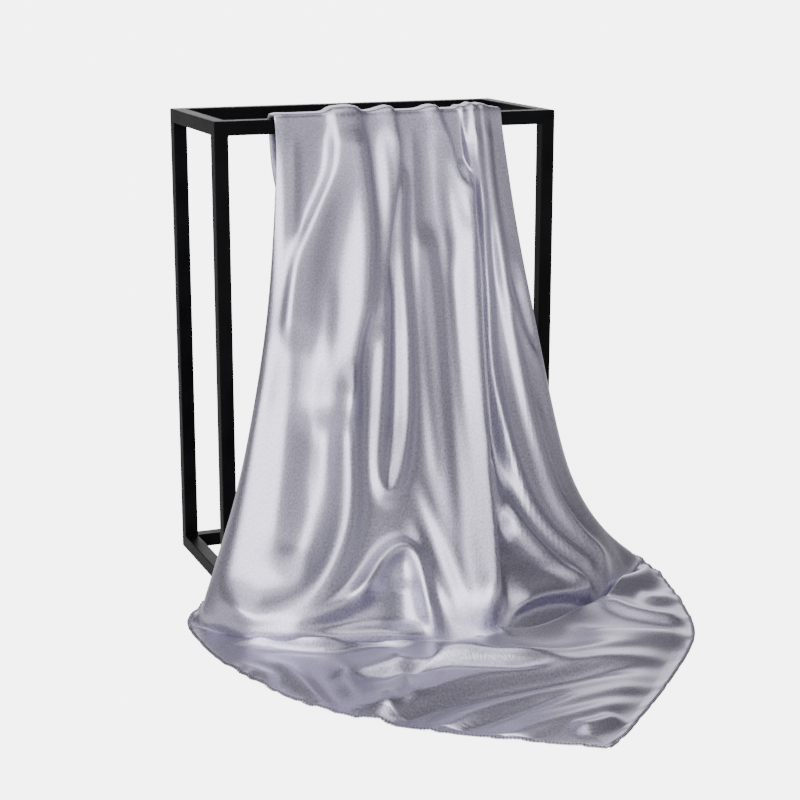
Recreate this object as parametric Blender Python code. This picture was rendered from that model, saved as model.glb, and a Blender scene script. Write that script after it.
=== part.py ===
# A square satin scarf draped over the front top rail of a box-frame stand of square tube,
# with its front corner lying on the floor before the stand.
# Metres, +Z up. The tables hold millimetres, measured from the stand's front left bottom corner.

import bpy
import bmesh
import numpy as np

MM = 0.001

# Stand, millimetres
STAND_WIDTH = 385.0
STAND_DEPTH = 175.0
STAND_HEIGHT = 505.0
TUBE = 15.0
TUBE_EDGE_RADIUS = 0.8
JOINT_GAP = 0.3

# Scarf, millimetres
WALL = 1.0
HEM_WIDTH = 3.6
HEM_THICKNESS = 1.4
SEAM_GAP = 0.3
FRONT_MITRE = 0.5
BACK_MITRE = 0.0
SIDE_CORNER_SECTION = 5
CORNER_DEPTH = 507.0
POOL_LENGTH = 300.0
RAIL_CLEAR = 4.6
BACK_TUCK = 2.9
FLAP_WAVE = 5.0
FOLD_FADE = 28.0
POOL_FLAP = 0.05
TURN_LINE = 3.0
LINE_LEVELS = (-150.0, 0.0, 225.0, STAND_HEIGHT)
PRESSED = 0.45

# How many sections of the wall there are on the floor, on the fall, over the rail and behind it,
# and how many points each has from hem to hem
SECTION_COUNTS = (14, 13, 9, 5)
FLAP_POINTS = 6
FRONT_POINTS = 46

# Finishes: colour, roughness, metallic
SATIN = ("silver satin", (0.52, 0.51, 0.56), 0.38, 0.0)
HEM_SATIN = ("silver satin hem", (0.50, 0.49, 0.54), 0.45, 0.0)
PAINTED_STEEL = ("black painted steel", (0.012, 0.012, 0.014), 0.45, 0.0)

# Where the foot of the fall meets the floor: share across, distance before the stand
FOOT_LINE = [
    (0.00, 110), (0.08, 168), (0.20, 198), (0.32, 212), (0.44, 232), (0.55, 262),
    (0.66, 244), (0.78, 202), (0.90, 152), (1.00, 95),
]

# How the fall swings forward towards its foot: share across, power of the curve
SWING = [(0.0, 1.5), (0.35, 1.5), (0.55, 2.1), (0.75, 2.0), (1.0, 1.6)]

# Lines that run down the cloth, from hem to hem. Columns: share of the way across its front on the
# floor, at the foot, at middle height and at the rail, then share of the flap beyond the front's edge
LINES = [
    ("left hem", 0.00, 0.00, 0.00, 0.00, 1.00),
    ("left flap outer", 0.00, 0.00, 0.00, 0.00, 0.72),
    ("left flap inner", 0.00, 0.00, 0.00, 0.00, 0.42),
    ("left turn", 0.00, 0.00, 0.00, 0.00, 0.14),
    ("left edge", 0.00, 0.00, 0.00, 0.00, 0.00),
    ("wide panel left", 0.06, 0.06, 0.05, 0.06, 0.00),
    ("wide panel middle", 0.14, 0.14, 0.14, 0.17, 0.00),
    ("wide panel right", 0.22, 0.22, 0.22, 0.28, 0.00),
    ("second pleat", 0.30, 0.30, 0.30, 0.39, 0.00),
    ("third pleat left", 0.39, 0.37, 0.39, 0.47, 0.00),
    ("third pleat", 0.47, 0.43, 0.48, 0.55, 0.00),
    ("middle panel left", 0.54, 0.49, 0.57, 0.64, 0.00),
    ("middle panel right", 0.61, 0.55, 0.65, 0.73, 0.00),
    ("long dark fold", 0.68, 0.62, 0.72, 0.81, 0.00),
    ("right folds left", 0.76, 0.72, 0.80, 0.87, 0.00),
    ("right folds middle", 0.84, 0.83, 0.88, 0.90, 0.00),
    ("right folds right", 0.92, 0.93, 0.95, 0.95, 0.00),
    ("right edge", 1.00, 1.00, 1.00, 1.00, 0.00),
    ("right turn", 1.00, 1.00, 1.00, 1.00, 0.14),
    ("right flap inner", 1.00, 1.00, 1.00, 1.00, 0.42),
    ("right flap outer", 1.00, 1.00, 1.00, 1.00, 0.72),
    ("right hem", 1.00, 1.00, 1.00, 1.00, 1.00),
]

# Sections on the floor, from the front corner to the foot.
# Columns: share of the way to the foot, left hem, right hem
POOL_SECTIONS = [
    (0.00, 197, 197),
    (0.03, 178, 217),
    (0.10, 137, 246),
    (0.20, 78, 291),
    (0.35, 11, 351),
    (0.50, -25, 407),
    (0.65, -46, 431),
    (0.80, -60, 450),
    (0.93, -64, 463),
]

# Sections of the fall, from the foot to just below the rail. Columns: height, left edge, right edge,
# left flap, right flap, how far the flaps are turned back in degrees, radius of the turn
FALL_SECTIONS = [
    (0.6, -43, 449, 26, 24, 35, 1),
    (5, -52, 457, 30, 28, 70, 2),
    (16, -57, 453, 42, 42, 110, 5),
    (34, -52, 432, 76, 72, 150, 8),
    (66, -40, 406, 122, 116, 172, 11),
    (110, -22, 385, 165, 160, 180, 12),
    (165, -2, 374, 176, 170, 180, 11),
    (225, 17, 365, 155, 150, 180, 10),
    (290, 35, 355, 120, 115, 180, 8),
    (350, 47, 344, 84, 80, 180, 6),
    (405, 55, 335, 54, 52, 180, 4),
    (445, 60, 329, 36, 34, 180, 2.4),
]

# Sections over the rail. Columns: way climbed from the floor, depth and height of the cloth,
# depth and height of the flap under it, left edge, right edge, flap at each edge.
# Depths are behind the rail's front face and heights above its top
RAIL_SECTIONS = [
    (478, -4.7, -27, -1.7, -27, 63, 324, 27),
    (496, -4.6, -9, -1.6, -9, 62, 321, 24),
    (507, -5.6, 7.0, -2.8, 4.0, 61, 320, 23),
    (515, 7.5, 4.4, 7.5, 1.4, 61, 319, 22),
    (523, 20.6, 7.0, 17.8, 4.0, 61, 318, 22),
    (536, 19.6, -10, 16.6, -10, 62, 317, 21),
]

# Sections of the back corner, which hangs behind the rail.
# Columns: height, left edge, right edge, flap at each edge, how far it is turned under in degrees
BACK_SECTIONS = [
    (468, 63, 315, 20, 178),
    (425, 68, 307, 20, 150),
    (375, 88, 286, 18, 110),
    (325, 122, 256, 15, 70),
    (288, 154, 225, 10, 25),
    (264, 176, 205, 5, 0),
    (252, 190, 190, 0, 0),
]

# Folds that run down the cloth. Columns: places (height, across) from top to bottom, height of the
# ridge, soft width on its left, soft width on its right, how far its crest leans to the right.
# Heights above the rail's top go on over the rail and down behind it.
DOWN_FOLDS = [
    ("wide panel edge", [(600, 130), (505, 130), (470, 130), (416, 111), (375, 88), (335, 72)], 6, 26, 9, 2),
    ("second pleat edge", [(600, 159), (505, 159), (460, 163), (400, 161), (313, 143), (222, 113), (140, 96)],
     9, 24, 10, 2),
    ("second pleat ridge", [(240, 116), (175, 107), (128, 101), (93, 86), (50, 58), (20, 30)], 14, 20, 16, 0),
    ("third pleat edge", [(600, 197), (505, 198), (470, 201), (434, 195), (382, 180), (350, 172)], 9, 20, 10, 2),
    ("third pleat ridge", [(440, 202), (405, 195), (338, 194), (279, 190), (202, 173), (139, 146), (100, 128)],
     11, 10, 11, 0),
    ("short ridge", [(290, 166), (238, 152), (189, 137), (140, 129)], 8, 8, 9, 0),
    ("middle panel ridge",
     [(600, 226), (505, 232), (468, 241), (394, 243), (312, 230), (211, 217), (115, 199), (22, 183)],
     7, 13, 16, 0),
    ("small panel edge", [(600, 247), (505, 248), (479, 260), (449, 266), (423, 277), (400, 284)], 6, 12, 8, 1),
    ("long dark fold",
     [(600, 270), (505, 271), (439, 279), (356, 279), (273, 269), (208, 259), (126, 243), (30, 220)],
     13, 18, 11, 2),
    ("dark hollow", [(410, 292), (356, 292), (273, 282), (208, 272), (126, 256), (60, 240)], -9, 9, 10, 0),
    ("right pleat", [(600, 287), (505, 289), (448, 298), (375, 309), (330, 316)], 6, 8, 7, 0),
    ("first sweeping ridge",
     [(340, 282), (288, 283), (195, 282), (145, 284), (102, 292), (75, 308), (40, 340), (24, 355)],
     11, 8, 10, 0),
    ("second sweeping ridge",
     [(350, 303), (289, 310), (213, 315), (172, 318), (108, 329), (60, 358), (30, 380)],
     11, 9, 11, 0),
    ("left outer ridge", [(180, 4), (108, -16), (72, -28), (52, -34), (30, -34), (14, -32)], 9, 10, 14, 0),
    ("inner hollow", [(190, 66), (120, 50), (75, 28), (45, 8)], -10, 26, 22, 0),
    ("arch hollow", [(80, 128), (50, 122), (20, 116), (0, 112)], -9, 18, 16, 0),
    ("arch ridge right side", [(95, 146), (70, 153), (46, 155), (20, 157), (-10, 160)], 9, 8, 7, 0),
]

# Folds that run across the foot. Columns: places (across, height) from left to right,
# height of the ridge, soft width below it, soft width above it
CROSS_FOLDS = [
    ("left swag", [(-34, 46), (-22, 36), (-5, 24), (20, 24), (50, 30), (80, 40)], 11, 10, 15),
    ("arch ridge", [(75, 30), (100, 58), (125, 84), (145, 88), (165, 74)], 10, 12, 14),
    ("foot roll", [(-45, 10), (0, 12), (60, 12), (120, 12), (160, 10)], 4, 8, 10),
    ("pocket fold", [(222, 26), (250, 32), (285, 30), (320, 24), (360, 16)], 9, 10, 11),
    ("right upper fold", [(345, 20), (383, 26), (410, 28), (440, 24), (462, 14)], 7, 13, 14),
]

# Folds of the cloth that lies on the floor. Columns: places (across, depth) from left to right,
# height of the ridge, soft width in front of it, soft width behind it
FLOOR_FOLDS = [
    ("layer edge rising right",
     [(110, -306), (148, -297), (199, -274), (257, -250), (296, -228), (345, -206)],
     12, 8, 18),
    ("near long crease", [(50, -376), (112, -355), (173, -348), (229, -346), (318, -345), (380, -352)], 10, 9, 16),
    ("left long crease", [(-10, -268), (30, -280), (98, -288), (148, -308), (220, -336)], 8, 8, 14),
    ("right crease", [(320, -216), (367, -243), (400, -258), (450, -268)], 10, 9, 12),
    ("front corner ripple", [(140, -418), (200, -432), (250, -436), (310, -416)], 6, 12, 14),
]


# Share of the way of a smooth step from 0 at low to 1 at high
def smooth_step(value, low, high):
    share = np.clip((value - low) / (high - low), 0.0, 1.0)
    return share * share * (3.0 - 2.0 * share)


# Weights of a cubic curve through a row of control points, with its ends held.
# places are counted in control points, from 0 to count - 1
def spline_weights(count, places):
    spans = count - 3
    knots = np.concatenate(([0.0] * 3, np.arange(spans + 1), [spans] * 3))
    centres = (knots[1:count + 1] + knots[2:count + 2] + knots[3:count + 3]) / 3.0
    t = np.clip(np.interp(places, np.arange(count), centres), 0.0, spans - 1e-9)[:, None]
    weights = ((t >= knots[:-1]) & (t < knots[1:])).astype(float)
    for degree in (1, 2, 3):
        start = knots[:-degree - 1]
        end = knots[degree + 1:]
        rise = np.maximum(knots[degree:-1] - start, 1e-9)
        fall = np.maximum(end - knots[1:len(knots) - degree], 1e-9)
        weights = (t - start) / rise * weights[:, :-1] + (end - t) / fall * weights[:, 1:]
    return weights


# A smooth path through a fold's places, read at the given values of its first column
def fold_path(places, at):
    table = np.array(sorted(places), float)
    fine = spline_weights(len(table), np.linspace(0, len(table) - 1, 60)) @ table \
        if len(table) > 3 else table
    return np.interp(at, fine[:, 0], fine[:, 1]), table[0, 0], table[-1, 0]


# A soft ridge: full at the path and fading on each side over its own width, and at both ends
def ridge(off, along, first, last, height, near_width, far_width, fade):
    width = np.where(off < 0.0, near_width, far_width)
    ends = smooth_step(along, first, first + fade) * (1.0 - smooth_step(along, last - fade, last))
    return height * np.exp(-(off / width) ** 2) * ends


def column(table, index):
    return np.array([row[index] for row in table], float)


def foot_depth(across):
    return np.interp(across, column(FOOT_LINE, 0), column(FOOT_LINE, 1))


# How far along its front each line lies, at a height, or on the floor where the height is below 0
def line_shares(height):
    return np.array([np.interp(height, LINE_LEVELS, line[1:5]) for line in LINES])


# One row of the net, from hem to hem. The flap beyond each edge swings round behind the front:
# at 0 degrees it lies flat beside the front, and at 180 it lies behind it
def net_row(front, left, right, left_flap, right_flap, turn, shares, under):
    flap = column(LINES, 5)
    left_side = np.arange(len(LINES)) < len(LINES) / 2
    length = np.where(left_side, left_flap, right_flap)
    outwards = np.where(left_side, -1.0, 1.0) * np.cos(np.radians(turn))
    points = np.column_stack([left + (right - left) * shares, front])
    points[:, 0] += outwards * length * flap
    wave = FLAP_WAVE * np.sin(flap * 3.0 * np.pi) * np.clip((length - 40.0) / 80.0, 0.0, 1.0)
    swing = np.abs(np.sin(np.radians(turn))) * length * flap + wave
    layer = (1.0 - np.cos(np.radians(turn))) / 2.0 * (flap > 0.0)
    direction = np.sign(under[0]) if under[0] else 1.0
    points[:, 1] += direction * swing + under[0] * layer
    points[:, 2] += under[1] * layer
    return points


# A row on the floor, at a share of the way from the front corner to the foot
def pool_row(share, left, right):
    inset = POOL_FLAP * (right - left)
    shares = line_shares((share - 1.0) * POOL_LENGTH)
    y = -CORNER_DEPTH + (CORNER_DEPTH - foot_depth(shares)) * share
    front = np.column_stack([y, np.full(len(y), WALL / 2)])
    return net_row(front, left + inset, right - inset, inset, inset, 0.0, shares, (1.0, 0.0))


# A row of the fall, which swings forward towards its foot
def fall_row(height, left, right, left_flap, right_flap, turn, radius):
    shares = line_shares(height)
    sag = 1.0 - height / STAND_HEIGHT
    power = np.interp(shares, column(SWING, 0), column(SWING, 1))
    depth = -foot_depth(shares) * sag ** power - RAIL_CLEAR * smooth_step(height, 0.0, 60.0)
    front = np.column_stack([depth, np.full(len(depth), float(height))])
    return net_row(front, left, right, left_flap, right_flap, turn, shares, (2.0 * radius, 0.0))


# A row at one depth and height all along, with its flap at another
def level_row(cloth, under, left, right, flap, turn):
    front = np.tile(np.array(cloth, float), (len(LINES), 1))
    offset = (under[0] - cloth[0], under[1] - cloth[1])
    return net_row(front, left, right, flap, flap, turn, line_shares(STAND_HEIGHT), offset)


# The net of control points, a row for each section, and how far each row has climbed
def cloth_net():
    rows = []
    climb = []
    for share, left, right in POOL_SECTIONS:
        rows.append(pool_row(share, left, right))
        climb.append((share - 1.0) * POOL_LENGTH)
    for section in FALL_SECTIONS:
        rows.append(fall_row(*section))
        climb.append(section[0])
    for way, depth, above, under_depth, under_above, left, right, flap in RAIL_SECTIONS:
        cloth = (depth, STAND_HEIGHT + above)
        under = (under_depth, STAND_HEIGHT + under_above)
        rows.append(level_row(cloth, under, left, right, flap, 180.0))
        climb.append(way)
    depth = TUBE + RAIL_CLEAR
    for height, left, right, flap, turn in BACK_SECTIONS:
        rows.append(level_row((depth, height), (depth - BACK_TUCK, height), left, right, flap, turn))
        climb.append(2.0 * STAND_HEIGHT + TUBE - height)
    return np.array(rows), np.array(climb)


# Points of the cloth's middle surface: smooth curves through the net, with the folds raised on it.
# rows and lines count control points along and across the cloth
def cloth_points(rows, lines):
    net, climb = cloth_net()
    along = spline_weights(len(net), rows)
    over = spline_weights(len(LINES), lines)
    base = np.einsum("rk,kmc,lm->rlc", along, net, over)
    way = np.repeat((along @ climb)[:, None], len(lines), axis=1)
    across = unit(np.gradient(base, axis=1))
    up = unit(np.gradient(base, axis=0))
    out = unit(np.cross(across, up))
    front = (smooth_step(lines, 4.0, 5.5) * (1.0 - smooth_step(lines, 14.8, 16.4)))[None, :]
    front = np.maximum(front, 1.0 - smooth_step(way, -40.0, 5.0))
    pressed = 1.0 - (1.0 - PRESSED) * smooth_step(way, 440.0, 500.0)
    raised = np.zeros(way.shape)
    leaned = np.zeros(way.shape)
    for name, places, height, left_width, right_width, lean in DOWN_FOLDS:
        path, first, last = fold_path(places, way)
        crest = ridge(base[..., 0] - path, way, first, last, height, left_width, right_width, FOLD_FADE) * pressed
        raised += crest
        leaned += crest * lean / height
    for name, places, height, near_width, far_width in CROSS_FOLDS:
        path, first, last = fold_path(places, base[..., 0])
        raised += ridge(way - path, base[..., 0], first, last, height, near_width, far_width, FOLD_FADE)
    on_floor = 1.0 - smooth_step(way, -12.0, 4.0)
    for name, places, height, near_width, far_width in FLOOR_FOLDS:
        path, first, last = fold_path(places, base[..., 0])
        crest = ridge(base[..., 1] - path, base[..., 0], first, last, height, near_width, far_width, FOLD_FADE)
        raised += crest * on_floor
    return base + out * (raised * front)[..., None] + across * (leaned * front)[..., None]


def unit(vectors):
    return vectors / np.maximum(np.linalg.norm(vectors, axis=-1, keepdims=True), 1e-9)


# Where the sections and the points across are taken from the net
def sample_places():
    ends = np.cumsum([0, len(POOL_SECTIONS), len(FALL_SECTIONS), len(RAIL_SECTIONS), len(BACK_SECTIONS) - 1])
    rows = [np.linspace(a, b, n, endpoint=False) for a, b, n in zip(ends[:-1], ends[1:], SECTION_COUNTS)]
    last = len(LINES) - 1.0
    lines = [np.linspace(0.0, TURN_LINE, FLAP_POINTS, endpoint=False),
             np.linspace(TURN_LINE, last - TURN_LINE, FRONT_POINTS, endpoint=False),
             np.linspace(last - TURN_LINE, last, FLAP_POINTS + 1)]
    return np.append(np.concatenate(rows), ends[-1]), np.concatenate(lines)


# The middle surface and the directions out of it and across it
def cloth_frame():
    rows, lines = sample_places()
    step = 0.05
    middle = cloth_points(rows, lines)
    across = unit(cloth_points(rows, lines + step) - cloth_points(rows, lines - step))
    up = unit(cloth_points(rows + step, lines) - cloth_points(rows - step, lines))
    out = unit(np.cross(across, up))
    out[0] = (0.0, 0.0, 1.0)
    out[-1] = (0.0, 1.0, 0.0)
    return middle, out


# A closed wall between two grids of points whose first and last rows are single tips
def wall_mesh(name, outer, inner):
    count = outer.shape[1]
    inside_rows = outer.shape[0] - 2
    points = []
    tips = []
    for grid in (outer, inner):
        start = len(points)
        points.extend(grid[1:-1].reshape(-1, 3))
        tips.append((start, len(points), len(points) + 1))
        points.extend([grid[0].mean(axis=0), grid[-1].mean(axis=0)])
    faces = []
    for side, (start, first_tip, last_tip) in enumerate(tips):
        turn = 1 if side == 0 else -1
        last = start + (inside_rows - 1) * count
        for c in range(count - 1):
            faces.append((first_tip, start + c + 1, start + c)[::turn])
            faces.append((last_tip, last + c, last + c + 1)[::turn])
            for r in range(inside_rows - 1):
                a = start + r * count + c
                faces.append((a, a + 1, a + 1 + count, a + count)[::turn])
    for edge in (0, count - 1):
        for r in range(-1, inside_rows):
            ends = []
            for start, first_tip, last_tip in tips:
                low = first_tip if r < 0 else start + r * count + edge
                high = last_tip if r == inside_rows - 1 else start + (r + 1) * count + edge
                ends.append((low, high))
            faces.append((ends[0][0], ends[0][1], ends[1][1], ends[1][0]))
    mesh = bpy.data.meshes.new(name)
    mesh.from_pydata((np.array(points) * MM).tolist(), [], faces)
    return closed_object(name, mesh)


# An object for a mesh, in triangles, with every face turned outwards
def closed_object(name, mesh):
    shape = bmesh.new()
    shape.from_mesh(mesh)
    bmesh.ops.triangulate(shape, faces=shape.faces)
    bmesh.ops.recalc_face_normals(shape, faces=shape.faces)
    shape.to_mesh(mesh)
    shape.free()
    piece = bpy.data.objects.new(name, mesh)
    bpy.context.collection.objects.link(piece)
    return piece


def finish(piece, look):
    name, colour, roughness, metallic = look
    material = bpy.data.materials.get(name) or bpy.data.materials.new(name)
    material.use_nodes = True
    shader = material.node_tree.nodes["Principled BSDF"]
    shader.inputs["Base Color"].default_value = (*colour, 1.0)
    shader.inputs["Roughness"].default_value = roughness
    shader.inputs["Metallic"].default_value = metallic
    piece.data.materials.append(material)


# The square of satin: one wall from its front corner on the floor to its back corner
def scarf_panel(middle, out):
    under = middle - out * WALL / 2
    under[..., 2] = np.maximum(under[..., 2], 0.0)
    panel = wall_mesh("scarf_panel", middle + out * WALL / 2, under)
    panel.data.shade_smooth()
    panel.data.set_sharp_from_angle(angle=np.radians(60))
    finish(panel, SATIN)
    return panel


# A rolled hem: a small six-sided roll that runs just outside one edge of the panel.
# Its ends are cut to a mitre where the panel has a corner
def hem(name, edge, beside, out, mitres):
    along = unit(np.gradient(edge, axis=0))
    away = edge - beside
    away = unit(away - (away * along).sum(axis=1, keepdims=True) * along)
    normal = unit(np.cross(along, away))
    normal = normal * np.sign((normal * out).sum(axis=1, keepdims=True))
    near = SEAM_GAP
    far = SEAM_GAP + HEM_WIDTH
    half = HEM_THICKNESS / 2
    section = [(near, -WALL / 2), (near, WALL / 2), (near + 0.8, half), (far - 0.8, half),
               (far, 0.0), (far - 0.8, -half), (near + 0.8, -half)]
    rings = np.stack([edge + away * a + normal * n for a, n in section], axis=1)
    reach = np.array([a for a, n in section])[:, None]
    rings[0] += along[0] * (SEAM_GAP - reach * mitres[0])
    rings[-1] -= along[-1] * (SEAM_GAP - reach * mitres[1])
    rings[..., 2] = np.maximum(rings[..., 2], 0.0)
    sides = len(section)
    faces = [tuple(range(sides)), tuple(range((len(rings) - 1) * sides, len(rings) * sides))]
    for r in range(len(rings) - 1):
        for s in range(sides):
            a = r * sides + s
            b = r * sides + (s + 1) % sides
            faces.append((a, b, b + sides, a + sides))
    mesh = bpy.data.meshes.new(name)
    mesh.from_pydata((rings.reshape(-1, 3) * MM).tolist(), [], faces)
    roll = closed_object(name, mesh)
    roll.data.shade_smooth()
    roll.data.set_sharp_from_angle(angle=np.radians(50))
    finish(roll, HEM_SATIN)
    return roll


# Four hems, one along each side of the square. They meet at the front corner, at the two side
# corners, which are the ends of the turned-back flaps, and at the back corner
def hems(middle, out):
    side_corner = SECTION_COUNTS[0] + SIDE_CORNER_SECTION
    spans = {"front": (slice(0, side_corner + 1), (FRONT_MITRE, 0.0)),
             "back": (slice(side_corner, None), (0.0, BACK_MITRE))}
    rolls = []
    for end, (rows, mitres) in spans.items():
        for side, edge, beside in (("left", 0, 1), ("right", -1, -2)):
            inner = middle[rows, beside].copy()
            tip = 0 if end == "front" else -1
            next_in = 1 if end == "front" else -2
            inner[tip] = middle[rows, beside][next_in] - middle[rows, edge][next_in] + middle[rows, edge][tip]
            rolls.append(hem(f"hem_{end}_{side}", middle[rows, edge], inner, out[rows, edge], mitres))
    return rolls


# One square tube of the stand, from its lowest to its highest corner
def tube(name, low, high):
    mesh = bpy.data.meshes.new(name)
    shape = bmesh.new()
    bmesh.ops.create_cube(shape, size=1.0)
    for vertex in shape.verts:
        for axis in range(3):
            vertex.co[axis] = (high[axis] if vertex.co[axis] > 0 else low[axis]) * MM
    bmesh.ops.bevel(shape, geom=shape.edges[:], offset=TUBE_EDGE_RADIUS * MM, segments=1, affect="EDGES")
    shape.to_mesh(mesh)
    shape.free()
    bar = closed_object(name, mesh)
    finish(bar, PAINTED_STEEL)
    return bar


# Four legs, with rails between them at the top and at the bottom
def stand():
    wide = (("left", 0.0), ("right", STAND_WIDTH - TUBE))
    deep = (("front", 0.0), ("back", STAND_DEPTH - TUBE))
    levels = (("bottom", 0.0), ("top", STAND_HEIGHT - TUBE))
    bars = []
    for side, x in wide:
        for face, y in deep:
            low = (x, y, TUBE + JOINT_GAP)
            bars.append(tube(f"leg_{face}_{side}", low, (x + TUBE, y + TUBE, STAND_HEIGHT - TUBE - JOINT_GAP)))
    for level, z in levels:
        for face, y in deep:
            bars.append(tube(f"rail_{level}_{face}", (0.0, y, z), (STAND_WIDTH, y + TUBE, z + TUBE)))
        for side, x in wide:
            low = (x, TUBE + JOINT_GAP, z)
            bars.append(tube(f"rail_{level}_{side}", low, (x + TUBE, STAND_DEPTH - TUBE - JOINT_GAP, z + TUBE)))
    return bars


# Puts the middle of the whole object's foot at the origin
def centre_on_floor(pieces):
    corners = [piece.matrix_world @ vertex.co for piece in pieces for vertex in piece.data.vertices]
    box = np.array([tuple(corner) for corner in corners])
    low, high = box.min(axis=0), box.max(axis=0)
    shift = -np.array([(low[0] + high[0]) / 2, (low[1] + high[1]) / 2, low[2]])
    for piece in pieces:
        for vertex in piece.data.vertices:
            vertex.co.x += shift[0]
            vertex.co.y += shift[1]
            vertex.co.z += shift[2]


def main():
    for piece in list(bpy.data.objects):
        bpy.data.objects.remove(piece, do_unlink=True)
    middle, out = cloth_frame()
    pieces = [scarf_panel(middle, out)] + hems(middle, out) + stand()
    centre_on_floor(pieces)


main()
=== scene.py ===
# A square silver satin scarf draped over the front rail of a black box-frame stand.
# Tables and sizes are in millimetres from the stand's front left bottom corner.
import bpy
import math
import numpy as np
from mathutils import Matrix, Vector


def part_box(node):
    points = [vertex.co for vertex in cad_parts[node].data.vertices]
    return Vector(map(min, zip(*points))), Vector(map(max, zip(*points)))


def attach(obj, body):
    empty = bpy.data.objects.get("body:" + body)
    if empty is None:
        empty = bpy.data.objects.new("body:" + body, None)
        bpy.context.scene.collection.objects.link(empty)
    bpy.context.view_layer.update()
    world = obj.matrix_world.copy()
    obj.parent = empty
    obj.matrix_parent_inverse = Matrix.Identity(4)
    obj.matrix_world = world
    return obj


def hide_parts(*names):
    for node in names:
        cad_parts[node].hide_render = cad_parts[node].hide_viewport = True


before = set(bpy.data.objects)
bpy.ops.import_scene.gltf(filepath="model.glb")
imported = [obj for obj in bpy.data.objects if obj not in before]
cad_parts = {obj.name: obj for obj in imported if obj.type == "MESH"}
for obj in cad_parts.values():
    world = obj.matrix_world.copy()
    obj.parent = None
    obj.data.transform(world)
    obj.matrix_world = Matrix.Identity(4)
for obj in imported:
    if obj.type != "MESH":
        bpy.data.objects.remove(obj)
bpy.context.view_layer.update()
mm = 0.001
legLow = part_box("leg_front_left")[0]
standCorner = np.array([legLow[0], legLow[1], 0.0])

photoCamera = dict(
    place=(-520.2, -1821.9, 677.0),  # from the stand's corner
    yaw=0.378, pitch=0.2408,  # radians, to the right and down
    lens=82.96, sensor=36.0, farEnd=200.0,
)

stand = dict(depth=175.0, height=505.0, tube=15.0)

cloth = dict(
    thickness=0.5,
    cut=0.9,  # metres along each side of the square
    cornerDepth=507.0,  # how far the front corner lies before the stand
    poolLength=300.0,
    poolHeight=0.5,
    poolFlap=0.05,  # share of the width that the outer lines take on the floor
    lowest=0.6,  # no point of the cloth lies lower than this
    railClear=4.6,
    backTuck=2.9,
    flapWave=13.0,
    flapFolds=3.6,
    flapTwist=0.004,  # how the waves of the flaps drift for each millimetre climbed
    foldFade=40.0,  # a crease fades at its ends over this length
    floorFade=110.0,
    fadeLimit=0.3,  # or over this share of its own length, where that is less
    sideView=0.37,  # how far a raised crest shows to the right, seen from the camera's side
    floorLift=5.0,  # the pool lies this high, so that its creases can dip
    liftEdge=70.0,
    calmEdge=13.0,
    calmShare=0.65,  # how much of a crease is lost at the hem
    dipShare=0.85,  # how much of a dip is lost below the rail
    pressed=0.36,  # how much of a fold's height is left over the rail
    lineLevels=(-150.0, 0.0, 225.0, 505.0),
    rowSpans=[(0, 9, 92), (9, 15, 84), (15, 21, 50), (21, 27, 22), (27, 33, 21)],  # floor to back
    columnSpans=[(0, 3, 14), (3, 8, 40), (8, 18, 116), (18, 21, 14)],
    rimWidth=9.0,
)

# where creases and waves fade in or out, from and to, in millimetres climbed from the floor
fades = dict(
    floor=(-12.0, 4.0), opened=(-40.0, 5.0), dips=(330.0, 430.0), pressed=(474.0, 508.0),
    back=(535.0, 575.0), behind=(600.0, 700.0), flapsIn=(10.0, 110.0), flapsOut=(300.0, 440.0),
    sideTop=200.0,
    leftLines=(4.0, 5.2), rightLines=(15.4, 16.8), sideLines=(16.0, 17.5),  # counted in lines across
    sideHeight=(3.0, 26.0), swingClear=(0.0, 60.0),  # in height
    flapShare=(0.02, 0.2),  # in share of the flap
)

# where the foot of the fall meets the floor: share across, distance before the stand
footLine = [
    (0.00, 110), (0.08, 168), (0.20, 198), (0.32, 212), (0.44, 232), (0.55, 262),
    (0.66, 244), (0.78, 202), (0.90, 152), (1.00, 95),
]

# how the fall swings forward towards its foot: share across, power of the curve
swing = [(0.0, 1.5), (0.35, 1.5), (0.55, 2.1), (0.75, 2.0), (1.0, 1.6)]

# lines down the cloth: share across the front on the floor, at the foot, at middle height
# and at the rail, then share of the flap beyond the front's edge
clothLines = [
    (0.00, 0.00, 0.00, 0.00, 1.00), (0.00, 0.00, 0.00, 0.00, 0.72),
    (0.00, 0.00, 0.00, 0.00, 0.42), (0.00, 0.00, 0.00, 0.00, 0.14),
    (0.00, 0.00, 0.00, 0.00, 0.00), (0.06, 0.06, 0.05, 0.06, 0.00),
    (0.14, 0.14, 0.14, 0.17, 0.00), (0.22, 0.22, 0.22, 0.28, 0.00),
    (0.30, 0.30, 0.30, 0.39, 0.00), (0.39, 0.37, 0.39, 0.47, 0.00),
    (0.47, 0.43, 0.48, 0.55, 0.00), (0.54, 0.49, 0.57, 0.64, 0.00),
    (0.61, 0.55, 0.65, 0.73, 0.00), (0.68, 0.62, 0.72, 0.81, 0.00),
    (0.76, 0.72, 0.80, 0.87, 0.00), (0.84, 0.83, 0.88, 0.90, 0.00),
    (0.92, 0.93, 0.95, 0.95, 0.00), (1.00, 1.00, 1.00, 1.00, 0.00),
    (1.00, 1.00, 1.00, 1.00, 0.14), (1.00, 1.00, 1.00, 1.00, 0.42),
    (1.00, 1.00, 1.00, 1.00, 0.72), (1.00, 1.00, 1.00, 1.00, 1.00),
]

# sections on the floor: share of the way from the corner to the foot, left hem, right hem
poolSections = [
    (0.00, 197, 197), (0.03, 178, 217), (0.10, 137, 246), (0.20, 78, 291), (0.35, 11, 351),
    (0.50, -25, 407), (0.65, -46, 431), (0.80, -60, 450), (0.93, -64, 463),
]

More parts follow.
